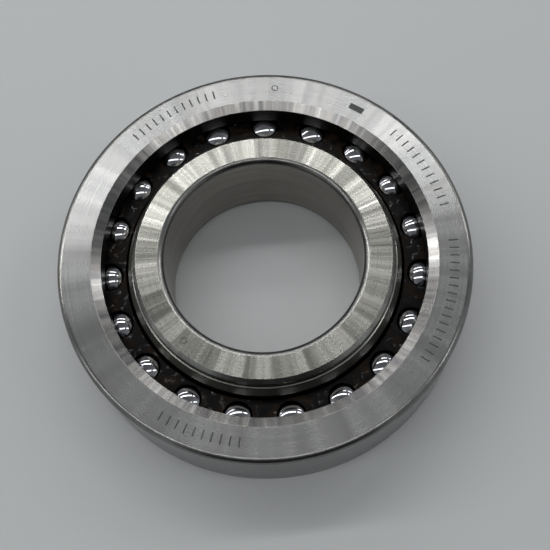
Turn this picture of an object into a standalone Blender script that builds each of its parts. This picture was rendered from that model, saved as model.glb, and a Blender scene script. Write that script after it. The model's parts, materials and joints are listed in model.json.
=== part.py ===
"""Single-row angular contact ball bearing with a 60 degree contact angle, 30 x 62 x 15 mm.

The bearing lies on the face with the outer ring's low shoulder: +Z is the axis of rotation and the
origin is the centre of the lower faces. The outer ring's high shoulder is at the top and the inner
ring's is at the bottom, so the load passes from one to the other through each ball at 60 degrees.
Nineteen balls run in a crown cage, a ring below the balls with one finger between each two of them.
"""

import math

import bmesh
import bpy
from mathutils import Matrix, Vector

MM = 0.001

# Boundary dimensions
BORE_RADIUS = 15.0 * MM
OUTER_RADIUS = 31.0 * MM
WIDTH = 15.0 * MM
CORNER = 0.88 * MM               # rounded corner of the bore and of the outside diameter
LAND_CORNER = 0.6 * MM           # small chamfer where a face meets a recessed land

# Balls and raceways
BALL_COUNT = 19
BALL_RADIUS = 3.175 * MM
PITCH_RADIUS = 23.85 * MM
BALL_HEIGHT = 8.0 * MM
CONTACT_ANGLE = math.radians(60.0)
FIRST_BALL_ANGLE = math.radians(83.73)
GROOVE_RADIUS = 3.375 * MM
HIGH_SHOULDER_STEP = 0.6 * MM    # from the pitch circle to either ring's high shoulder
LOW_SHOULDER_STEP = 3.05 * MM    # from the pitch circle to either ring's low shoulder
RELIEF_STEP = 4.1 * MM           # from the pitch circle to the recessed land beside a low shoulder

# Shapes beside the shoulders, as depths below the ring's face
HIGH_BEVEL_WIDTH = 1.47 * MM
HIGH_BEVEL_DEPTH = 0.63 * MM
RELIEF_DEPTH = 2.13 * MM
RELIEF_SLOPE_WIDTH = 0.72 * MM
RELIEF_SLOPE_DEPTH = 1.43 * MM
RELIEF_FILLET = 0.33 * MM

# Cage
POCKET_RADIUS = 3.45 * MM
CAGE_BOTTOM = 1.5 * MM
CAGE_TOP = 10.75 * MM
CAGE_BASE_INNER = 23.6 * MM
CAGE_BASE_OUTER = 26.2 * MM
CAGE_TOP_INNER = 21.2 * MM
CAGE_TOP_OUTER = 24.9 * MM
CAGE_NECK_LOW = 4.6 * MM         # where the inner side starts to lean in over the inner ring
CAGE_NECK_HIGH = 7.0 * MM
CAGE_LEAN_START = 7.4 * MM       # where the outer side starts to lean in under the outer ring

# Mesh fineness
RING_STEPS = 64
CAGE_STEPS = 4 * BALL_COUNT
GROOVE_STEPS = 8
CORNER_STEPS = 2
SHARP_ANGLE = math.radians(28.0)


def clear_scene():
    """Remove the objects that a new file starts with."""
    for thing in list(bpy.data.objects):
        bpy.data.objects.remove(thing, do_unlink=True)


def make_material(name, colour, roughness, metallic):
    """A Principled material with the finish of one sub-part."""
    material = bpy.data.materials.new(name)
    material.use_nodes = True
    shader = material.node_tree.nodes["Principled BSDF"]
    shader.inputs["Base Color"].default_value = (*colour, 1.0)
    shader.inputs["Roughness"].default_value = roughness
    shader.inputs["Metallic"].default_value = metallic
    return material


def arc(centre, radius, start, end, steps):
    """Points of a circular arc in the profile plane, angles in radians from +r towards +z."""
    points = []
    for step in range(steps + 1):
        angle = start + (end - start) * step / steps
        points.append((centre[0] + radius * math.cos(angle), centre[1] + radius * math.sin(angle)))
    return points


def spin_profile(profile, steps):
    """A closed solid of revolution about Z from a closed (r, z) outline."""
    mesh = bmesh.new()
    corners = [mesh.verts.new((r, 0.0, z)) for r, z in profile]
    edges = []
    for index, corner in enumerate(corners):
        edges.append(mesh.edges.new((corner, corners[(index + 1) % len(corners)])))
    bmesh.ops.spin(mesh, geom=corners + edges, cent=(0, 0, 0), axis=(0, 0, 1),
                   angle=math.tau, steps=steps, use_merge=True)
    bmesh.ops.remove_doubles(mesh, verts=mesh.verts, dist=1e-6)
    bmesh.ops.recalc_face_normals(mesh, faces=mesh.faces)
    return mesh


def finish_object(name, mesh, material):
    """Turn a bmesh into a named, smooth-shaded object that keeps its sharp edges."""
    data = bpy.data.meshes.new(name)
    mesh.to_mesh(data)
    mesh.free()
    data.materials.append(material)
    data.shade_smooth()
    data.set_sharp_from_angle(angle=SHARP_ANGLE)
    thing = bpy.data.objects.new(name, data)
    bpy.context.scene.collection.objects.link(thing)
    return thing


def groove_crossing(step):
    """Height above the ball's centre where the groove meets a shoulder, step from the pitch circle."""
    return math.sqrt(GROOVE_RADIUS ** 2 - step ** 2)


def outer_ring_profile():
    """Outline of the outer ring's section, from its lower face outwards and up."""
    low_shoulder = PITCH_RADIUS + LOW_SHOULDER_STEP
    high_shoulder = PITCH_RADIUS + HIGH_SHOULDER_STEP
    relief = PITCH_RADIUS + RELIEF_STEP
    corner_centre = OUTER_RADIUS - CORNER
    points = arc((corner_centre, CORNER), CORNER, -math.pi / 2, 0.0, CORNER_STEPS)
    points += arc((corner_centre, WIDTH - CORNER), CORNER, 0.0, math.pi / 2, CORNER_STEPS)
    points.append((high_shoulder + HIGH_BEVEL_WIDTH, WIDTH))
    points.append((high_shoulder, WIDTH - HIGH_BEVEL_DEPTH))
    start = math.atan2(groove_crossing(HIGH_SHOULDER_STEP), HIGH_SHOULDER_STEP)
    end = -math.atan2(groove_crossing(LOW_SHOULDER_STEP), LOW_SHOULDER_STEP)
    points += arc((PITCH_RADIUS, BALL_HEIGHT), GROOVE_RADIUS, start, end, GROOVE_STEPS)
    points.append((low_shoulder, RELIEF_DEPTH + RELIEF_SLOPE_DEPTH))
    points.append((low_shoulder + RELIEF_SLOPE_WIDTH, RELIEF_DEPTH))
    points.append((relief, RELIEF_DEPTH - RELIEF_FILLET))
    points.append((relief, LAND_CORNER))
    points.append((relief + LAND_CORNER, 0.0))
    return points


def inner_ring_profile():
    """Outline of the inner ring's section, from its upper face inwards and down."""
    low_shoulder = PITCH_RADIUS - LOW_SHOULDER_STEP
    high_shoulder = PITCH_RADIUS - HIGH_SHOULDER_STEP
    relief = PITCH_RADIUS - RELIEF_STEP
    corner_centre = BORE_RADIUS + CORNER
    points = arc((corner_centre, WIDTH - CORNER), CORNER, math.pi / 2, math.pi, CORNER_STEPS)
    points += arc((corner_centre, CORNER), CORNER, math.pi, math.pi * 1.5, CORNER_STEPS)
    points.append((high_shoulder - HIGH_BEVEL_WIDTH, 0.0))
    points.append((high_shoulder, HIGH_BEVEL_DEPTH))
    start = math.pi + math.atan2(groove_crossing(HIGH_SHOULDER_STEP), HIGH_SHOULDER_STEP)
    end = math.pi - math.atan2(groove_crossing(LOW_SHOULDER_STEP), LOW_SHOULDER_STEP)
    points += arc((PITCH_RADIUS, BALL_HEIGHT), GROOVE_RADIUS, start, end, GROOVE_STEPS)
    points.append((low_shoulder, WIDTH - RELIEF_DEPTH - RELIEF_SLOPE_DEPTH))
    points.append((low_shoulder - RELIEF_SLOPE_WIDTH, WIDTH - RELIEF_DEPTH))
    points.append((relief, WIDTH - RELIEF_DEPTH + RELIEF_FILLET))
    points.append((relief, WIDTH - LAND_CORNER))
    points.append((relief - LAND_CORNER, WIDTH))
    return points


def cage_profile():
    """Outline of the cage before its pockets: a thick ring whose upper half leans inwards."""
    return [
        (CAGE_BASE_INNER, CAGE_BOTTOM),
        (CAGE_BASE_OUTER, CAGE_BOTTOM),
        (CAGE_BASE_OUTER, CAGE_LEAN_START),
        (CAGE_TOP_OUTER, CAGE_TOP),
        (CAGE_TOP_INNER, CAGE_TOP),
        (CAGE_TOP_INNER, CAGE_NECK_HIGH),
        (CAGE_BASE_INNER, CAGE_NECK_LOW),
    ]


def ball_angle(index):
    """Place of a ball around the axis, balls numbered anticlockwise from above."""
    return FIRST_BALL_ANGLE + math.tau * index / BALL_COUNT


def ball_place(index):
    """Centre of a ball."""
    angle = ball_angle(index)
    return Vector((PITCH_RADIUS * math.cos(angle), PITCH_RADIUS * math.sin(angle), BALL_HEIGHT))


def pocket_cutter():
    """One sphere for each pocket, all in one object."""
    mesh = bmesh.new()
    for index in range(BALL_COUNT):
        turn = Matrix.Rotation(ball_angle(index), 4, "Z")
        bmesh.ops.create_uvsphere(mesh, u_segments=14, v_segments=8, radius=POCKET_RADIUS,
                                  matrix=Matrix.Translation(ball_place(index)) @ turn)
    data = bpy.data.meshes.new("pocket_cutter")
    mesh.to_mesh(data)
    mesh.free()
    cutter = bpy.data.objects.new("pocket_cutter", data)
    bpy.context.scene.collection.objects.link(cutter)
    cutter.hide_render = True
    cutter.display_type = "WIRE"
    return cutter


def make_cage(material):
    """Crown cage: the turned ring with the ball pockets cut from it."""
    cage = finish_object("cage", spin_profile(cage_profile(), CAGE_STEPS), material)
    cut = cage.modifiers.new("pockets", "BOOLEAN")
    cut.operation = "DIFFERENCE"
    cut.solver = "EXACT"
    cut.object = pocket_cutter()
    return cage


def make_balls(material):
    """The nineteen balls, each turned so that its own Z is the axis it rolls about."""
    mesh = bmesh.new()
    bmesh.ops.create_uvsphere(mesh, u_segments=14, v_segments=8, radius=BALL_RADIUS)
    first = finish_object("ball_01", mesh, material)
    balls = [first]
    for index in range(1, BALL_COUNT):
        ball = bpy.data.objects.new(f"ball_{index + 1:02d}", first.data)
        bpy.context.scene.collection.objects.link(ball)
        balls.append(ball)
    for index, ball in enumerate(balls):
        outward = Matrix.Rotation(ball_angle(index), 3, "Z") @ Vector((1.0, 0.0, 0.0))
        roll_axis = outward * math.sin(CONTACT_ANGLE) - Vector((0.0, 0.0, math.cos(CONTACT_ANGLE)))
        ball.rotation_euler = roll_axis.to_track_quat("Z", "Y").to_euler()
        ball.location = ball_place(index)
    return balls


def build_bearing():
    """Make every piece, and hang the cage and the balls from an empty on the bearing's axis."""
    clear_scene()
    outer_steel = make_material("outer_ring_steel", (0.46, 0.46, 0.44), 0.32, 1.0)
    inner_steel = make_material("inner_ring_steel", (0.50, 0.49, 0.46), 0.28, 1.0)
    ball_steel = make_material("ball_steel", (0.62, 0.62, 0.64), 0.06, 1.0)
    cage_plastic = make_material("cage_polyamide", (0.012, 0.009, 0.007), 0.45, 0.0)

    finish_object("outer_ring", spin_profile(outer_ring_profile(), RING_STEPS), outer_steel)
    finish_object("inner_ring", spin_profile(inner_ring_profile(), RING_STEPS), inner_steel)

    carrier = bpy.data.objects.new("ball_carrier", None)
    bpy.context.scene.collection.objects.link(carrier)
    for piece in [make_cage(cage_plastic)] + make_balls(ball_steel):
        piece.parent = carrier


build_bearing()
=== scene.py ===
import json
import math

import bpy
import numpy as np
from mathutils import Matrix, Vector


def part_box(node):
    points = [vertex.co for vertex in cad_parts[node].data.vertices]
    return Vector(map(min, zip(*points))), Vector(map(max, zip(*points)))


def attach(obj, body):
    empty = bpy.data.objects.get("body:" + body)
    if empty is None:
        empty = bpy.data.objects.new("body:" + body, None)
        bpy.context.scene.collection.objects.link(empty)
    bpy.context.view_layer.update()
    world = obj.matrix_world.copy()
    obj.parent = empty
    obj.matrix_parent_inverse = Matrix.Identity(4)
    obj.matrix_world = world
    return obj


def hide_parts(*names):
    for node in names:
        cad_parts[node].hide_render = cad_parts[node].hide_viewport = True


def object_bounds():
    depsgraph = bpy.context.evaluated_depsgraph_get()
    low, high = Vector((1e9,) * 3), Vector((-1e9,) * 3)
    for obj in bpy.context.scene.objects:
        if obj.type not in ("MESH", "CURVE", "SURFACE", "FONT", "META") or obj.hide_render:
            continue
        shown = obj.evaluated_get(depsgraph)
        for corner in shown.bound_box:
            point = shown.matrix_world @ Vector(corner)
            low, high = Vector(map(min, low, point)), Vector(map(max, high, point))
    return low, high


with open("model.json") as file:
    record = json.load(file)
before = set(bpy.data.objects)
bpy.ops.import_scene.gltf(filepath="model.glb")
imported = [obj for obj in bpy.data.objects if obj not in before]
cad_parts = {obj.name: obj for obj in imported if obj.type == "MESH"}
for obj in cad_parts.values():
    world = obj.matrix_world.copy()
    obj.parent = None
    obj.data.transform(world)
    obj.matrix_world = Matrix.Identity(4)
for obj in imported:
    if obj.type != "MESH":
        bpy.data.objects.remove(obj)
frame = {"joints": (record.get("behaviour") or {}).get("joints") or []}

cadLow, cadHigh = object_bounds()
mm = 0.001
fullTurn = 2 * math.pi
noiseLow, noiseHigh = 0.35, 0.65      # nearly all of a noise pattern lies between these
scene = bpy.context.scene

# where the frame puts the bearing: one joint for each ball gives its centre and its rolling axis
ballJoints = {j["child"]: j for j in frame["joints"] if j["child"].startswith("ball_")}
ballCentres = {name: Vector(j["pos_m"]) for name, j in ballJoints.items()}
firstBall = ballCentres["ball_01"]
pitchRadius = firstBall.xy.length / mm
ballHeight = firstBall.z / mm
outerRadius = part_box("outer_ring")[1].x / mm
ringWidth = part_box("outer_ring")[1].z / mm
print("frame read:", len(ballCentres), "balls on a pitch radius of", round(pitchRadius, 3), "mm")


def hexColour(text):
    # sRGB hex to linear: c/12.92 below 0.04045, otherwise ((c + 0.055)/1.055) to the power 2.4
    c = np.array([int(text[i:i + 2], 16) for i in (1, 3, 5)]) / 255
    linear = np.where(c <= 0.04045, c / 12.92, ((c + 0.055) / 1.055) ** 2.4)
    return (*linear.tolist(), 1.0)


def addNode(tree, kind, values=None, links=None, **settings):
    # one node: settings are its own properties, values its socket numbers, links its inputs
    node = tree.nodes.new(kind)
    for key, value in settings.items():
        setattr(node, key, value)
    for key, value in (values or {}).items():
        node.inputs[key].default_value = value
    for key, source in (links or {}).items():
        tree.links.new(source, node.inputs[key])
    return node


def newMaterial(name):
    # a material with one Principled shader on its output
    material = bpy.data.materials.new(name)
    material.use_nodes = True
    tree = material.node_tree
    tree.nodes.clear()
    shader = addNode(tree, "ShaderNodeBsdfPrincipled")
    addNode(tree, "ShaderNodeOutputMaterial", links={"Surface": shader.outputs["BSDF"]})
    return material, tree, shader


def newPiece(name, points, faces, materials, zones=None):
    # a mesh object at the origin with its place in its vertices, one material index for each face
    mesh = bpy.data.meshes.new(name)
    mesh.from_pydata(points, [], faces)
    for material in materials:
        mesh.materials.append(material)
    if zones is not None:
        mesh.polygons.foreach_set("material_index", zones)
    mesh.polygons.foreach_set("use_smooth", np.ones(len(mesh.polygons), bool))
    mesh.update()
    piece = bpy.data.objects.new(name, mesh)
    scene.collection.objects.link(piece)
    return piece


def gridQuads(rows, columns, closed=True):
    # point i * columns + j joined to its neighbours in the next row and the next column; the
    # columns always close up, and the rows do too where closed
    i, j = np.meshgrid(np.arange(rows if closed else rows - 1), np.arange(columns), indexing="ij")
    nextI, nextJ = (i + 1) % rows * columns, (j + 1) % columns
    quads = np.stack([i * columns + j, nextI + j, nextI + nextJ, i * columns + nextJ], -1)
    return quads.reshape(-1, 4)


def joinParts(parts):
    # several (points, faces) as one mesh: each part's faces count on from the points before it
    points, faces, start = [], [], 0
    for partPoints, partFaces in parts:
        points.append(partPoints)
        faces += [[v + start for v in face] for face in partFaces]
        start += len(partPoints)
    return np.concatenate(points), faces


def arcPoints(centre, radius, start, end, steps):
    # (centre + radius cos a, centre + radius sin a) for equal steps of the angle a, in degrees
    a = np.radians(np.linspace(start, end, steps + 1))
    return [(centre[0] + radius * math.cos(t), centre[1] + radius * math.sin(t)) for t in a]


def roundedOutline(corners, steps=5):
    # each corner (r, z, rounding, zone) becomes an arc tangent to both sides; the arc's centre lies
    # on the corner's bisector at rounding / sin(half the inside angle)
    points, zones = [], []
    count = len(corners)
    for i, (r, z, rounding, zone) in enumerate(corners):
        here = np.array([r, z])
        if rounding == 0:
            points.append(here)
            zones.append(zone)
            continue
        back = np.array(corners[i - 1][:2]) - here
        ahead = np.array(corners[(i + 1) % count][:2]) - here
        back, ahead = back / np.linalg.norm(back), ahead / np.linalg.norm(ahead)
        half = math.acos(np.clip(back @ ahead, -1, 1)) / 2
        middle = (back + ahead) / np.linalg.norm(back + ahead)
        centre = here + middle * rounding / math.sin(half)
        first = here + back * rounding / math.tan(half) - centre
        last = here + ahead * rounding / math.tan(half) - centre
        swing = math.pi - 2 * half
        for t in np.linspace(0, 1, steps + 1):
            turned = first * math.sin((1 - t) * swing) + last * math.sin(t * swing)
            points.append(centre + turned / math.sin(swing))
            zones.append("edge" if t < 1 else zone)
    return np.array(points), zones


def holdFlats(outline, zones, longest=0.3, near=0.04):
    # a point just inside each end of every long side, so that a flat stays flat up to its rounded
    # edge: side start + unit direction * near, and side end - unit direction * near (mm)
    points, kept = [], []
    for here, ahead, zone in zip(outline, np.roll(outline, -1, axis=0), zones):
        points.append(here)
        kept.append(zone)
        side = ahead - here
        length = np.linalg.norm(side)
        if length > longest:
            points += [here + side / length * near, ahead - side / length * near]
            kept += [zone, zone]
    return np.array(points), kept


def revolve(name, outline, zones, materials, steps):
    # x = r cos a, y = r sin a, z = z for every outline point and every angle a; ringWay keeps
    # (cos a, sin a, length along the outline in mm), so that patterns can follow the turning
    r, z = outline[:, 0] * mm, outline[:, 1] * mm
    a = np.arange(steps) * fullTurn / steps
    everyAngle, everyPoint = np.ones(steps), np.ones(len(r))
    grid = np.stack([np.outer(np.cos(a), r), np.outer(np.sin(a), r), np.outer(everyAngle, z)], -1)
    used = list(dict.fromkeys(materials.values()))
    zoneRow = np.array([used.index(materials[zone]) for zone in zones])
    piece = newPiece(name, grid.reshape(-1, 3), gridQuads(steps, len(r)), used,
                     np.tile(zoneRow, steps))
    length = np.concatenate([[0], np.cumsum(np.linalg.norm(np.diff(outline, axis=0), axis=1))])
    way = np.stack([np.outer(np.cos(a), everyPoint), np.outer(np.sin(a), everyPoint),
                    np.outer(everyAngle, length)], -1)
    ringWay = piece.data.attributes.new("ringWay", "FLOAT_VECTOR", "POINT")
    ringWay.data.foreach_set("vector", way.ravel())
    return piece


def settle(piece, body, node):
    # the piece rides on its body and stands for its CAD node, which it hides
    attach(piece, body)
    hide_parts(node)


# the camera is above the near side and looks down at the wide ring face
cameraPlace = dict(
    elevation=68.59,     # degrees above the table
    distance=139.57,     # mm from the middle of the upper face
    roll=-6.73,          # degrees
    lens=61.5, sensor=36,              # mm
    shiftX=0.0212, shiftY=-0.0404,     # shares of the sensor
    clip=(0.005, 10),                  # metres
)


def makeCamera(place):
    # the camera sits along "back" from the middle of the upper face and looks down it
    e, roll = math.radians(place["elevation"]), math.radians(place["roll"])
    back = Vector((0, -math.cos(e), math.sin(e)))
    right, up = Vector((1, 0, 0)), back.cross(Vector((1, 0, 0)))
    side = right * math.cos(roll) + up * math.sin(roll)
    top = up * math.cos(roll) - right * math.sin(roll)
    data = bpy.data.cameras.new("camera")
    data.lens = place["lens"]
    data.sensor_width = place["sensor"]
    data.shift_x, data.shift_y = place["shiftX"], place["shiftY"]
    data.clip_start, data.clip_end = place["clip"]
    camera = bpy.data.objects.new("camera", data)
    scene.collection.objects.link(camera)
    middle = Vector((0, 0, ringWidth * mm))
    turn = Matrix((side, top, back)).transposed().to_4x4()
    camera.matrix_world = Matrix.Translation(middle + back * place["distance"] * mm) @ turn
    scene.camera = camera


makeCamera(cameraPlace)
print("camera placed")


# every ring surface is the same hardened steel, finished in its own way; for each finish:
# light, dark       colours of the rays that point at the axis; on the faces and bevels these are painted highlight and painted shade streaks
# rayWidth          mm, width of a ray; rayStretch is how many times longer it runs across the marks
# contrast          how sharply the rays part into light and dark
# tint, patch       a colour that drifts through them, in patches this size (mm), up to tintAmount
# rough, spread     middle roughness and its whole range
# stretch           how far a highlight is drawn out across the tool marks
# lineGap           mm between tool marks, about four times as coarse as real grinding, to show
# lineDepth         micrometres, depth of the marks; rayDepth is the depth of the rays
ringSteels = {
    # satin, with soft bright rays: a painted highlight in the colour, over the real highlight that
    # turns with the light
    "groundFace": dict(light="#949493", dark="#818180", rayWidth=2.8, rayStretch=40, contrast=0.6,
                       tint="#8a8c8c", patch=3.0, tintAmount=0.3, rough=0.26, spread=0.06,
                       stretch=0.77, lineGap=0.16, lineDepth=0.6, rayDepth=16),
    # brighter and more even, with short light and dark bars of painted highlight and painted shade
    "turnedBevel": dict(light="#9c9b98", dark="#5f5f62", rayWidth=1.1, rayStretch=20, contrast=0.5,
                        tint="#807a74", patch=1.2, tintAmount=0.35, rough=0.21, spread=0.06,
                        stretch=0.45, lineGap=0.12, lineDepth=0.6, rayDepth=1.5),
    # grey, with long faint rings round the outside
    "groundRim": dict(light="#979796", dark="#888887", rayWidth=14.0, rayStretch=0.10, contrast=0.2,
                      tint="#8c8c8b", patch=9.0, tintAmount=0.1, rough=0.29, spread=0.04,
                      stretch=0.6, lineGap=0.20, lineDepth=2.5, rayDepth=1),
    # a soft line of light round each edge
    "turnedCorner": dict(light="#888886", dark="#727270", rayWidth=3.0, rayStretch=4, contrast=0.5,
                         tint="#7a7873", patch=3.0, tintAmount=0.3, rough=0.24, spread=0.06,
                         stretch=0.5, lineGap=0.15, lineDepth=0.8, rayDepth=1),
    # warm and smooth, darker with depth
    "honedBore": dict(light="#aba7a1", dark="#96928c", rayWidth=12.0, rayStretch=0.10, contrast=0.3,
                      tint="#9a948b", patch=7.0, tintAmount=0.2, rough=0.30, spread=0.05,
                      stretch=0.5, lineGap=0.20, lineDepth=2.0, rayDepth=1),
    # the thin bright line where a sharp edge was taken off
    "brokenEdge": dict(light="#acaca8", dark="#8a8a86", rayWidth=2.0, rayStretch=4, contrast=0.6,
                       tint="#94948c", patch=2.0, tintAmount=0.3, rough=0.28, spread=0.06,
                       stretch=0.3, lineGap=0.15, lineDepth=0.5, rayDepth=1),
    # painted shade and painted reflection: very dark, for the raceway deep under the balls, which
    # mirrors the black cage
    "honedTrack": dict(light="#40403e", dark="#2f2f2d", rayWidth=3.0, rayStretch=4, contrast=0.6,
                       tint="#3c3a34", patch=2.0, tintAmount=0.4, rough=0.34, spread=0.04,
                       stretch=0.4, lineGap=0.12, lineDepth=0.3, rayDepth=0.5),
    # a little brown, in patches, in the recess
    "turnedLand": dict(light="#9a9990", dark="#74736a", rayWidth=3.0, rayStretch=4, contrast=0.8,
                       tint="#6f6855", patch=1.5, tintAmount=0.4, rough=0.26, spread=0.08,
                       stretch=0.4, lineGap=0.20, lineDepth=1.0, rayDepth=2),
    # dull, left as the tool left it
    "turnedSlope": dict(light="#a2a29c", dark="#86867f", rayWidth=3.0, rayStretch=4, contrast=0.5,
                        tint="#8b887e", patch=1.5, tintAmount=0.4, rough=0.45, spread=0.06,
                        stretch=0.3, lineGap=0.15, lineDepth=0.8, rayDepth=1),
    # strong warm bars, light and dark, from the axis outwards: painted highlight and painted shade
    "lappedFace": dict(light="#aaa9a3", dark="#72726d", rayWidth=2.0, rayStretch=40, contrast=1.2,
                       tint="#8a8a80", patch=1.2, tintAmount=0.3, rough=0.27, spread=0.08,
                       stretch=0.80, lineGap=0.14, lineDepth=0.5, rayDepth=34),
}


steelPattern = dict(
    lineLength=20,                # mm, along the ring
    contrastBase=0.24, contrastGain=0.12,    # half the noise range that the rays' colours use
    patchRun=0.06,                # how little a patch changes across the marks
    patchEdge=(0.38, 0.66),       # noise where a patch starts and is full
    lineShare=0.45,               # share of the tool marks in the roughness
    quarterTurn=0.25,             # the highlight runs across the marks, not along them
)


def makeRingSteel(name, steel, radius):
    # hardened chrome bearing steel, ground or turned: the fine marks run round the ring and stretch
    # each highlight across themselves, so the eye sees soft light and dark rays towards the axis;
    # the same rays are also painted into the colour as painted highlight and painted shade streaks
    pattern = steelPattern
    material, tree, shader = newMaterial(name)
    way = addNode(tree, "ShaderNodeAttribute", attribute_name="ringWay")
    around, across = radius / steel["rayWidth"], 1 / (steel["rayWidth"] * steel["rayStretch"])
    rayWay = addNode(tree, "ShaderNodeVectorMath", operation="MULTIPLY",
                     links={0: way.outputs["Vector"]}, values={1: (around, around, across)})
    lineScale = radius / pattern["lineLength"]
    lineWay = addNode(tree, "ShaderNodeVectorMath", operation="MULTIPLY",
                      links={0: way.outputs["Vector"]},
                      values={1: (lineScale, lineScale, 1 / steel["lineGap"])})
    sheenRays = addNode(tree, "ShaderNodeTexNoise", links={"Vector": rayWay.outputs[0]},
                   values={"Scale": 1.0, "Detail": 2.5, "Roughness": 0.6})
    lines = addNode(tree, "ShaderNodeTexNoise", links={"Vector": lineWay.outputs[0]},
                    values={"Scale": 1.0, "Detail": 2.0, "Roughness": 0.6})
    patchScale = radius / steel["patch"]
    patchWay = addNode(tree, "ShaderNodeVectorMath", operation="MULTIPLY",
                       links={0: way.outputs["Vector"]},
                       values={1: (patchScale, patchScale, pattern["patchRun"] / steel["patch"])})
    cloud = addNode(tree, "ShaderNodeTexNoise", links={"Vector": patchWay.outputs[0]},
                    values={"Scale": 1.0, "Detail": 2.0, "Roughness": 0.5})
    half = pattern["contrastBase"] - pattern["contrastGain"] * steel["contrast"]
    sharpened = addNode(tree, "ShaderNodeMapRange", links={"Value": sheenRays.outputs["Fac"]},
                        values={"From Min": 0.5 - half, "From Max": 0.5 + half})
    # painted highlight and painted shade: the rays mix the light and dark colours into streaks of
    # sheen
    colour = addNode(tree, "ShaderNodeMix", data_type="RGBA",
                     links={"Factor": sharpened.outputs[0]},
                     values={"A": hexColour(steel["dark"]), "B": hexColour(steel["light"])})
    start, full = pattern["patchEdge"]
    patches = addNode(tree, "ShaderNodeMapRange", links={"Value": cloud.outputs["Fac"]},
                      values={"From Min": start, "From Max": full,
                              "To Min": 0.0, "To Max": steel["tintAmount"]})
    tinted = addNode(tree, "ShaderNodeMix", data_type="RGBA",
                     values={"B": hexColour(steel["tint"])},
                     links={"Factor": patches.outputs[0], "A": colour.outputs[2]})
    uneven = addNode(tree, "ShaderNodeMix", data_type="FLOAT",
                     values={"Factor": pattern["lineShare"]},
                     links={"A": cloud.outputs["Fac"], "B": lines.outputs["Fac"]})
    rough = addNode(tree, "ShaderNodeMapRange", links={"Value": uneven.outputs[0]},
                    values={"From Min": noiseLow, "From Max": noiseHigh,
                            "To Min": steel["rough"] - steel["spread"] / 2,
                            "To Max": steel["rough"] + steel["spread"] / 2})
    rayBump = addNode(tree, "ShaderNodeBump", links={"Height": sheenRays.outputs["Fac"]},
                      values={"Strength": 1.0, "Distance": steel["rayDepth"] * 1e-6})
    lineBump = addNode(tree, "ShaderNodeBump",
                       links={"Height": lines.outputs["Fac"], "Normal": rayBump.outputs["Normal"]},
                       values={"Strength": 1.0, "Distance": steel["lineDepth"] * 1e-6})
    shader.inputs["Metallic"].default_value = 1.0
    shader.inputs["Anisotropic"].default_value = steel["stretch"]
    shader.inputs["Anisotropic Rotation"].default_value = pattern["quarterTurn"]
    tree.links.new(tinted.outputs[2], shader.inputs["Base Color"])
    tree.links.new(rough.outputs[0], shader.inputs["Roughness"])
    tree.links.new(lineBump.outputs["Normal"], shader.inputs["Normal"])
    return material


def makeRingSteels(prefix, finishes, radius):
    # one material for each finish, shared by all the zones of the ring that have it
    made = {}
    for kind in dict.fromkeys(finishes.values()):
        made[kind] = makeRingSteel(prefix + kind[0].upper() + kind[1:], ringSteels[kind], radius)
    return {zone: made[kind] for zone, kind in finishes.items()}


# what both rings share: each one's outline is nearly the other's, upside down and inside out
ringMesh = dict(
    faceDrop=0.01,        # mm, the upper face lies this far down, under the etched marks
    bevelRound=0.06, shoulderRound=0.05, landRound=0.1, filletRound=0.2,     # mm
    cornerSteps=8, grooveSteps=36,
)

outerRing = dict(
    corner=0.88,          # mm, round corner of the outside diameter
    highStep=0.6,         # from the pitch circle out to the high shoulder
    lowStep=3.05,         # from the pitch circle out to the low shoulder
    reliefStep=4.1,       # from the pitch circle out to the recessed land under the low shoulder
    landCorner=0.6,       # chamfer of the lower face's inner edge
    grooveRadius=3.3,
    bevelWidth=1.47, bevelDepth=0.63,
    reliefDepth=2.13, fillet=0.33,       # depth of the recess, and of the fillet in it
    slopeWidth=0.72, slopeDepth=1.43,    # slope from the recess to the low shoulder
    slopeFoot=0.25,       # rounding where the slope meets the groove
    edgeBreak=0.10,       # small rounding of the sharp edges
    steps=384,
)


def outerOutline(ring):
    # from the lower face outwards, up the rim, in over the face and bevel, and down the raceway;
    # the groove meets each shoulder where cos a is the shoulder's step / groove radius
    m, e, c = ringMesh, ring["edgeBreak"], ring["corner"]
    high, low = pitchRadius + ring["highStep"], pitchRadius + ring["lowStep"]
    relief = pitchRadius + ring["reliefStep"]
    top = ringWidth - m["faceDrop"]
    start = math.degrees(math.acos(ring["highStep"] / ring["grooveRadius"]))
    end = -math.degrees(math.acos(ring["lowStep"] / ring["grooveRadius"]))
    lowCorner = arcPoints((outerRadius - c, c), c, -90, 0, m["cornerSteps"])
    highCorner = arcPoints((outerRadius - c, top - c), c, 0, 90, m["cornerSteps"])
    corners = [(r, z, 0, "corner") for r, z in lowCorner]
    corners[-1] = (outerRadius, c, 0, "rim")
    corners += [(r, z, 0, "corner") for r, z in highCorner]
    corners[-1] = (outerRadius - c, top, 0, "face")
    corners.append((high + ring["bevelWidth"], top, m["bevelRound"], "bevel"))
    corners.append((high, top - ring["bevelDepth"], m["shoulderRound"], "track"))
    groove = arcPoints((pitchRadius, ballHeight), ring["grooveRadius"], start, end,
                       m["grooveSteps"])
    corners += [(r, z, 0, "track") for r, z in groove]
    corners.append((low, ring["reliefDepth"] + ring["slopeDepth"], ring["slopeFoot"], "land"))
    corners.append((low + ring["slopeWidth"], ring["reliefDepth"], m["landRound"], "land"))
    corners.append((relief, ring["reliefDepth"] - ring["fillet"], m["filletRound"], "land"))
    corners.append((relief, ring["landCorner"], e, "edge"))
    corners.append((relief + ring["landCorner"], 0, e, "face"))
    return holdFlats(*roundedOutline(corners))


def makeOuterRing(ring):
    radius = (pitchRadius + outerRadius) / 2
    steel = makeRingSteels("outer", dict(rim="groundRim", corner="turnedCorner", face="groundFace",
                                         bevel="turnedBevel", track="honedTrack",
                                         land="turnedLand", edge="brokenEdge"), radius)
    outline, zones = outerOutline(ring)
    piece = revolve("outerRing", outline, zones, steel, ring["steps"])
    settle(piece, "outer_ring", "outer_ring")


makeOuterRing(outerRing)
print("outer ring made")


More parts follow.
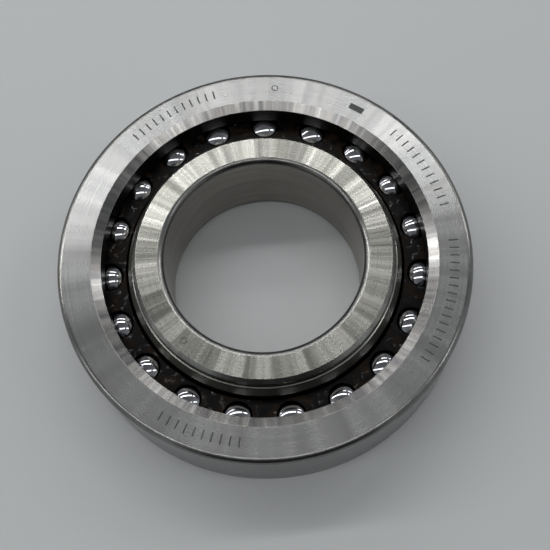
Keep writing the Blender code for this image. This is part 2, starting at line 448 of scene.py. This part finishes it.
innerRing = dict(
    bore=15.0,            # mm, radius
    corner=0.88, highStep=0.6, lowStep=3.05, reliefStep=4.1, landCorner=0.6,
    grooveRadius=3.3, bevelWidth=1.47, bevelDepth=0.63,
    reliefDepth=2.13, fillet=0.10, slopeWidth=0.72, slopeDepth=1.43, slopeFoot=0.4,
    slopeRound=0.32,      # the slope's upper edge, wide enough to catch a line of light
    edgeBreak=0.08, steps=384,
)


def innerOutline(ring):
    # from the upper face inwards, down the bore, out along the lower face and up the raceway
    m, e, c = ringMesh, ring["edgeBreak"], ring["corner"]
    high, low = pitchRadius - ring["highStep"], pitchRadius - ring["lowStep"]
    relief = pitchRadius - ring["reliefStep"]
    top, bore = ringWidth - m["faceDrop"], ring["bore"]
    start = 180 + math.degrees(math.acos(ring["highStep"] / ring["grooveRadius"]))
    end = 180 - math.degrees(math.acos(ring["lowStep"] / ring["grooveRadius"]))
    highCorner = arcPoints((bore + c, top - c), c, 90, 180, m["cornerSteps"])
    lowCorner = arcPoints((bore + c, c), c, 180, 270, m["cornerSteps"])
    corners = [(r, z, 0, "corner") for r, z in highCorner]
    corners[-1] = (bore, top - c, 0, "rim")
    corners += [(r, z, 0, "corner") for r, z in lowCorner]
    corners[-1] = (bore + c, 0, 0, "face")
    corners.append((high - ring["bevelWidth"], 0, m["bevelRound"], "bevel"))
    corners.append((high, ring["bevelDepth"], m["shoulderRound"], "track"))
    groove = arcPoints((pitchRadius, ballHeight), ring["grooveRadius"], start, end,
                       m["grooveSteps"])
    corners += [(r, z, 0, "track") for r, z in groove]
    recess = top - ring["reliefDepth"]
    corners.append((low, recess - ring["slopeDepth"], ring["slopeFoot"], "slope"))
    corners.append((low - ring["slopeWidth"], recess, ring["slopeRound"], "land"))
    corners.append((relief, recess + ring["fillet"], m["filletRound"], "land"))
    corners.append((relief, top - ring["landCorner"], e, "edge"))
    corners.append((relief - ring["landCorner"], top, e, "face"))
    return holdFlats(*roundedOutline(corners))


def makeInnerRing(ring):
    radius = (pitchRadius + ring["bore"]) / 2
    steel = makeRingSteels("inner", dict(rim="honedBore", corner="turnedCorner", face="lappedFace",
                                         bevel="turnedBevel", slope="turnedSlope",
                                         track="honedTrack", land="turnedLand",
                                         edge="brokenEdge"), radius)
    outline, zones = innerOutline(ring)
    piece = revolve("innerRing", outline, zones, steel, ring["steps"])
    settle(piece, "inner_ring", "inner_ring")


makeInnerRing(innerRing)
print("inner ring made")


# etched marks on the ring faces, in degrees and mm: rows of plain even ticks from one angle to
# another, solid blocks as (angle, radius, length, width), small rings as (angle, radius, size)
etchedMarks = dict(
    low=14.985, high=14.998,        # mm, bottom and top of the thin oxide layer
    outer=dict(ticks=((9, 38), (100, 129), (233, 257), (318, 357)), radius=28.2, tickLength=1.4,
               tickWidth=0.22, tickGap=1.1, blocks=((52.5, 28.2, 1.0, 2.4),),
               rings=((80, 28.2, 0.46),)),
    inner=dict(ticks=(), blocks=(), rings=((223, 17.6, 0.46),)),
    ringLine=0.14, ringSteps=32,    # mm, width of a small ring's line, and its points
)


etchedLook = dict(dark="#2e312f", light="#454846", grain=0.4, metallic=0.1, rough=0.55)


def makeEtchedSteel(look):
    # electro-etched oxide: a matt darker grey than the ground steel round it, a little uneven
    material, tree, shader = newMaterial("etchedOxide")
    place = addNode(tree, "ShaderNodeTexCoord")
    grain = addNode(tree, "ShaderNodeTexNoise", links={"Vector": place.outputs["Object"]},
                    values={"Scale": 1 / (look["grain"] * mm), "Detail": 2.0})
    colour = addNode(tree, "ShaderNodeMix", data_type="RGBA",
                     links={"Factor": grain.outputs["Fac"]},
                     values={"A": hexColour(look["dark"]), "B": hexColour(look["light"])})
    shader.inputs["Metallic"].default_value = look["metallic"]
    shader.inputs["Roughness"].default_value = look["rough"]
    tree.links.new(colour.outputs[2], shader.inputs["Base Color"])
    return material


def makeMarks(name, row, body, material):
    # a block is a thin box, long across the ring: centre + u radial + v tangential; a small ring is
    # a circle of points round its centre, carried along by a flat four-cornered section
    low, high = etchedMarks["low"], etchedMarks["high"]
    blocks = list(row["blocks"])
    for start, end in row["ticks"]:
        count = int(math.radians(end - start) * row["radius"] / row["tickGap"])
        for angle in np.linspace(start, end, count):
            blocks.append((angle, row["radius"], row["tickLength"], row["tickWidth"]))
    corners = np.array([[u, v, w] for w in (0, 1) for u, v in ((-1, -1), (1, -1), (1, 1), (-1, 1))])
    boxFaces = [(0, 3, 2, 1), (4, 5, 6, 7), (0, 1, 5, 4), (1, 2, 6, 5), (2, 3, 7, 6), (3, 0, 4, 7)]
    parts = []
    for angle, radius, length, width in blocks:
        a = math.radians(angle)
        u = radius + corners[:, 0] * length / 2
        v = corners[:, 1] * width / 2
        w = low + corners[:, 2] * (high - low)
        x, y = u * math.cos(a) - v * math.sin(a), u * math.sin(a) + v * math.cos(a)
        parts.append((np.stack([x, y, w], -1), boxFaces))
    steps, line = etchedMarks["ringSteps"], etchedMarks["ringLine"] / 2
    t = np.arange(steps) * fullTurn / steps
    for angle, radius, size in row["rings"]:
        a = math.radians(angle)
        section = np.array([(size - line, low), (size + line, low),
                            (size + line, high), (size - line, high)])
        x = radius * math.cos(a) + np.outer(np.cos(t), section[:, 0])
        y = radius * math.sin(a) + np.outer(np.sin(t), section[:, 0])
        z = np.outer(np.ones(steps), section[:, 1])
        quads = gridQuads(steps, len(section)).tolist()
        parts.append((np.stack([x, y, z], -1).reshape(-1, 3), quads))
    points, faces = joinParts(parts)
    piece = newPiece(name, points * mm, faces, [material])
    piece.data.shade_flat()
    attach(piece, body)


etchedSteel = makeEtchedSteel(etchedLook)
makeMarks("outerEtching", etchedMarks["outer"], "outer_ring", etchedSteel)
makeMarks("innerEtching", etchedMarks["inner"], "inner_ring", etchedSteel)
print("etched marks made")


ballShape = dict(radius=3.175, around=64, upward=32)      # mm, faces round, faces pole to pole


ballLook = dict(
    colour="#a9a9ad",
    film=2.5,             # mm, size of the oil film's patches
    rough=(0.05, 0.11),
)


def makeBallSteel(look):
    # through-hardened balls lapped to a mirror; a thin oil film dulls them a little in patches
    material, tree, shader = newMaterial("lappedBallSteel")
    place = addNode(tree, "ShaderNodeTexCoord")
    film = addNode(tree, "ShaderNodeTexNoise", links={"Vector": place.outputs["Object"]},
                   values={"Scale": 1 / (look["film"] * mm), "Detail": 2.0})
    clean, oily = look["rough"]
    rough = addNode(tree, "ShaderNodeMapRange", links={"Value": film.outputs["Fac"]},
                    values={"From Min": noiseLow, "From Max": noiseHigh,
                            "To Min": clean, "To Max": oily})
    shader.inputs["Base Color"].default_value = hexColour(look["colour"])
    shader.inputs["Metallic"].default_value = 1.0
    tree.links.new(rough.outputs[0], shader.inputs["Roughness"])
    return material


def makeBall(name, shape, material):
    # centre + radius (sin b cos a, sin b sin a, cos b) with the poles on the rolling axis
    joint = ballJoints[name]
    turn = np.array(Vector(joint["axis"]).to_track_quat("Z", "Y").to_matrix())
    a = np.arange(shape["around"]) * fullTurn / shape["around"]
    b = np.arange(1, shape["upward"]) * math.pi / shape["upward"]
    ring = np.stack([np.outer(np.sin(b), np.cos(a)), np.outer(np.sin(b), np.sin(a)),
                     np.outer(np.cos(b), np.ones(len(a)))], -1).reshape(-1, 3)
    unit = np.concatenate([ring, [[0, 0, 1], [0, 0, -1]]]) @ turn.T
    points = np.array(joint["pos_m"]) + unit * shape["radius"] * mm
    count, rows = len(a), len(b)
    quads = gridQuads(rows, count, closed=False)
    k = np.arange(count)
    topCap = np.stack([np.full(count, rows * count), k, (k + 1) % count], -1)
    base = (rows - 1) * count
    lowCap = np.stack([np.full(count, rows * count + 1), base + (k + 1) % count, base + k], -1)
    faces = quads.tolist() + topCap.tolist() + lowCap.tolist()
    piece = newPiece(name.replace("_", "") + "Lapped", points, faces, [material])
    settle(piece, name, name)


ballSteel = makeBallSteel(ballLook)
for ballName in sorted(ballCentres):
    makeBall(ballName, ballShape, ballSteel)
print("balls made")


cageShape = dict(
    bottom=1.5, top=10.75, baseInner=23.6, baseOuter=26.2, topInner=21.2, topOuter=24.9,
    neckLow=4.6, neckHigh=7.0, leanStart=7.4,
    edge=0.15, bend=0.4,  # mm, rounding of the outer edges and of the bends between them
    pocket=3.38,          # mm, radius of the ball pocket
    lip=0.12,             # rounding of the pocket's mouth
    sharpAngle=32,        # degrees, edges sharper than this stay crisp
    steps=19 * 24,        # round the ring, the same number for each ball
    pocketSteps=48, wallSteps=30, lipSteps=6,
)

cageLook = dict(
    grain=0.25, grainDepth=0.003,        # mm
    film=1.6,                            # mm, size of the brown and rough patches
    # painted shade: the dark colour is almost pure black, for the shade deep in the gap between the
    # rings
    dark="#030202", brown="#1c130a", thinEdge=(0.48, 0.62),
    rough=(0.34, 0.60),
    drop=1.0, dropDepth=0.6,             # mm, drawn steeper than real oil so that the glints show
    dropEdge=(0.60, 0.68), dropCoat=0.5, dropRough=0.10,
    ior=1.53,
    gloss=0.08,                          # low, as painted shade, so that the cage stays as dark as the shaded gap between the rings
)


def makeCagePlastic(look):
    # glass-filled polyamide, moulded: painted almost black and given a low sheen, as painted shade
    # for the shaded gap between the rings; dull brown patches at random, and a fine grain that
    # keeps its sheen low; the oil stands in wavy drops that glint
    material, tree, shader = newMaterial("oiledPolyamide")
    place = addNode(tree, "ShaderNodeTexCoord")
    grain = addNode(tree, "ShaderNodeTexNoise", links={"Vector": place.outputs["Object"]},
                    values={"Scale": 1 / (look["grain"] * mm), "Detail": 3.0})
    film = addNode(tree, "ShaderNodeTexNoise", links={"Vector": place.outputs["Object"]},
                   values={"Scale": 1 / (look["film"] * mm), "Detail": 3.0})
    start, full = look["thinEdge"]
    brownPatches = addNode(tree, "ShaderNodeMapRange", links={"Value": film.outputs["Fac"]},
                   values={"From Min": start, "From Max": full})
    colour = addNode(tree, "ShaderNodeMix", data_type="RGBA", links={"Factor": brownPatches.outputs[0]},
                     values={"A": hexColour(look["dark"]), "B": hexColour(look["brown"])})
    wave = addNode(tree, "ShaderNodeTexNoise", links={"Vector": place.outputs["Object"]},
                   values={"Scale": 1 / (look["drop"] * mm), "Detail": 1.0})
    start, full = look["dropEdge"]
    drops = addNode(tree, "ShaderNodeMapRange", links={"Value": wave.outputs["Fac"]},
                    values={"From Min": start, "From Max": full, "To Max": look["dropCoat"]})
    dropBump = addNode(tree, "ShaderNodeBump", links={"Height": wave.outputs["Fac"]},
                       values={"Strength": 1.0, "Distance": look["dropDepth"] * mm})
    smooth, dull = look["rough"]
    rough = addNode(tree, "ShaderNodeMapRange", links={"Value": film.outputs["Fac"]},
                    values={"From Min": noiseLow, "From Max": noiseHigh,
                            "To Min": smooth, "To Max": dull})
    bump = addNode(tree, "ShaderNodeBump", links={"Height": grain.outputs["Fac"]},
                   values={"Strength": 1.0, "Distance": look["grainDepth"] * mm})
    shader.inputs["IOR"].default_value = look["ior"]
    shader.inputs["Specular IOR Level"].default_value = look["gloss"]
    shader.inputs["Coat Roughness"].default_value = look["dropRough"]
    tree.links.new(colour.outputs[2], shader.inputs["Base Color"])
    tree.links.new(rough.outputs[0], shader.inputs["Roughness"])
    tree.links.new(bump.outputs["Normal"], shader.inputs["Normal"])
    tree.links.new(drops.outputs[0], shader.inputs["Coat Weight"])
    tree.links.new(dropBump.outputs["Normal"], shader.inputs["Coat Normal"])
    return material


def cutterMesh(shape):
    # for each pocket a turned plug: a sphere whose mouth flares by the lip's arc until it meets the
    # cage's top at a right angle to the axis; the plug stands 1 mm above the cage
    high = shape["top"] - ballHeight
    lip, pocket, steps = shape["lip"], shape["pocket"], shape["pocketSteps"]
    flare = math.sqrt((pocket + lip) ** 2 - (high - lip) ** 2)
    meet = math.degrees(math.atan2(high - lip, flare))
    outline = arcPoints((0, 0), pocket, -90, meet, shape["wallSteps"])
    outline += arcPoints((flare, high - lip), lip, meet - 180, -270, shape["lipSteps"])[1:]
    outline += [(flare, high + 1.0), (0, high + 1.0)]
    r, z = np.array(outline[1:-1]).T * mm
    a = np.arange(steps) * fullTurn / steps
    plug = np.stack([np.outer(r, np.cos(a)), np.outer(r, np.sin(a)),
                     np.outer(z, np.ones(steps))], -1)
    low, top = (0, 0, outline[0][1] * mm), (0, 0, outline[-1][1] * mm)
    plug = np.concatenate([plug.reshape(-1, 3), [low, top]])
    rows = len(r)
    quads = np.roll(gridQuads(rows, steps, closed=False)[:, ::-1], 1, axis=1)    # facing outwards
    k = np.arange(steps)
    last = (rows - 1) * steps
    lowCap = np.stack([np.full(steps, rows * steps), (k + 1) % steps, k], -1)
    topCap = np.stack([np.full(steps, rows * steps + 1), last + k, last + (k + 1) % steps], -1)
    faces = quads.tolist() + lowCap.tolist() + topCap.tolist()
    return joinParts([(plug + np.array(centre), faces) for centre in ballCentres.values()])


def makeCage(shape):
    # the turned ring, with rounded edges, less the pockets
    e, bend = shape["edge"], shape["bend"]
    corners = [
        (shape["baseInner"], shape["bottom"], e, "body"),
        (shape["baseOuter"], shape["bottom"], e, "body"),
        (shape["baseOuter"], shape["leanStart"], bend, "body"),
        (shape["topOuter"], shape["top"], e, "body"),
        (shape["topInner"], shape["top"], e, "body"),
        (shape["topInner"], shape["neckHigh"], bend, "body"),
        (shape["baseInner"], shape["neckLow"], bend, "body"),
    ]
    outline, zones = roundedOutline(corners)
    plastic = makeCagePlastic(cageLook)
    ring = revolve("cageRing", outline, ["body"] * len(zones), {"body": plastic}, shape["steps"])
    points, faces = cutterMesh(shape)
    cutter = newPiece("cageCutter", points, faces, [])
    cut = ring.modifiers.new("pockets", "BOOLEAN")
    cut.operation, cut.solver, cut.object = "DIFFERENCE", "EXACT", cutter
    graph = bpy.context.evaluated_depsgraph_get()
    mesh = bpy.data.meshes.new_from_object(ring.evaluated_get(graph))
    mesh.name = "cageMoulded"
    for spare in (ring, cutter):
        bpy.data.objects.remove(spare)
    mesh.shade_smooth()
    mesh.set_sharp_from_angle(angle=math.radians(shape["sharpAngle"]))
    piece = bpy.data.objects.new("cageMoulded", mesh)
    scene.collection.objects.link(piece)
    settle(piece, "cage", "cage")


makeCage(cageShape)
print("cage made")


tableLook = dict(
    size=3.0,                            # metres
    colour="#babcbd", rough=0.55,
    grain=1.5, grainDepth=0.01, grainStrength=0.3,       # mm, mm and share
)

# rows of ceiling lamps across the table, each row a long lamp, a gap and a second lamp; the tilt is
# from straight up towards the far side, the width and the spans to the left (-) and the right (+)
# are angles too, in degrees; the distance is in metres, and the power in watts for each metre
lampRows = [
    dict(name="farRow", tilt=46, width=2.6, distance=0.36,
         spans=((-56, 22), (31, 50)), power=0.38),
    dict(name="middleRow", tilt=28.5, width=4, distance=1.2,
         spans=((-56, 22), (31, 50)), power=3.0),
    dict(name="nearRow", tilt=-10, width=6, distance=1.2,
         spans=((-64, 22), (31, 50)), power=1.9),
]
roomLight = dict(
    colour="#b9bdc0",
    horizon=0.50, zenith=0.31,   # strength level with the table and straight up
    nearSide=1.3, farSide=0.80,  # times the strength towards the viewer and beyond the bearing
    depthRun=(-0.8, 0.9),        # forward parts of the direction between which that changes
    sides=1.7,                   # times the strength straight to the left and right
    viewer=(0, -0.94, 0.34),     # direction of the viewer, who is dark against the room
    viewerEdge=(0.76, 0.86),     # cosines of the angle from there where the dark starts and is full
    viewerShade=0.08,            # share of the room's light that comes from the viewer
)


def makeTable(look):
    # a wide flat sheet under the bearing, pale laminate with the faintest grain
    half = look["size"] / 2
    z = cadLow.z
    points = [(-half, -half, z), (half, -half, z), (half, half, z), (-half, half, z)]
    material, tree, shader = newMaterial("paleLaminate")
    place = addNode(tree, "ShaderNodeTexCoord")
    grain = addNode(tree, "ShaderNodeTexNoise", links={"Vector": place.outputs["Object"]},
                    values={"Scale": 1 / (look["grain"] * mm), "Detail": 3.0})
    bump = addNode(tree, "ShaderNodeBump", links={"Height": grain.outputs["Fac"]},
                   values={"Strength": look["grainStrength"], "Distance": look["grainDepth"] * mm})
    shader.inputs["Base Color"].default_value = hexColour(look["colour"])
    shader.inputs["Roughness"].default_value = look["rough"]
    tree.links.new(bump.outputs["Normal"], shader.inputs["Normal"])
    table = newPiece("table", points, [(0, 1, 2, 3)], [material])


def makeLamps(rows):
    # each lamp is a rectangle square to the line from the bearing to the middle of its row
    for row in rows:
        tilt = math.radians(row["tilt"])
        away = row["distance"]
        along, facing = Vector((1, 0, 0)), Vector((0, math.sin(tilt), math.cos(tilt)))
        turn = Matrix((along, facing.cross(along), facing)).transposed()
        for number, (left, right) in enumerate(row["spans"]):
            lowX, highX = (away * math.tan(math.radians(a)) for a in (left, right))
            data = bpy.data.lights.new(f"{row['name']}{number}", "AREA")
            data.shape = "RECTANGLE"
            data.size = highX - lowX
            data.size_y = 2 * away * math.tan(math.radians(row["width"] / 2))
            data.energy = row["power"] * data.size
            lamp = bpy.data.objects.new(data.name, data)
            scene.collection.objects.link(lamp)
            place = facing * away + along * (lowX + highX) / 2
            lamp.matrix_world = Matrix.Translation(place) @ turn.to_4x4()


def makeRoom(light):
    # pale walls under a dimmer ceiling, brighter on the viewer's side: the strength is a straight
    # run from horizon to zenith with the direction's height, times one from the near to the far
    # side, times one with the square of the sideways part, and the viewer is a dark disc in it
    world = bpy.data.worlds.new("room")
    world.use_nodes = True
    tree = world.node_tree
    background = tree.nodes["Background"]
    background.inputs["Color"].default_value = hexColour(light["colour"])
    direction = addNode(tree, "ShaderNodeTexCoord")
    parts = addNode(tree, "ShaderNodeSeparateXYZ", links={0: direction.outputs["Generated"]})
    height = addNode(tree, "ShaderNodeMapRange", links={"Value": parts.outputs["Z"]},
                     values={"To Min": light["horizon"], "To Max": light["zenith"]})
    near, far = light["depthRun"]
    depth = addNode(tree, "ShaderNodeMapRange", links={"Value": parts.outputs["Y"]},
                    values={"From Min": near, "From Max": far,
                            "To Min": light["nearSide"], "To Max": light["farSide"]})
    squared = addNode(tree, "ShaderNodeMath", operation="MULTIPLY",
                      links={0: parts.outputs["X"], 1: parts.outputs["X"]})
    across = addNode(tree, "ShaderNodeMapRange", links={"Value": squared.outputs[0]},
                     values={"To Min": 1.0, "To Max": light["sides"]})
    level = addNode(tree, "ShaderNodeMath", operation="MULTIPLY",
                    links={0: height.outputs[0], 1: depth.outputs[0]})
    both = addNode(tree, "ShaderNodeMath", operation="MULTIPLY",
                   links={0: level.outputs[0], 1: across.outputs[0]})
    closeness = addNode(tree, "ShaderNodeVectorMath", operation="DOT_PRODUCT",
                        links={0: direction.outputs["Generated"]}, values={1: light["viewer"]})
    start, full = light["viewerEdge"]
    shade = addNode(tree, "ShaderNodeMapRange", links={"Value": closeness.outputs["Value"]},
                    values={"From Min": start, "From Max": full,
                            "To Min": 1.0, "To Max": light["viewerShade"]})
    shaded = addNode(tree, "ShaderNodeMath", operation="MULTIPLY",
                     links={0: both.outputs[0], 1: shade.outputs[0]})
    tree.links.new(shaded.outputs[0], background.inputs["Strength"])
    scene.world = world


makeTable(tableLook)
makeLamps(lampRows)
makeRoom(roomLight)
scene.view_settings.view_transform = "Standard"
print("table and lamps placed")
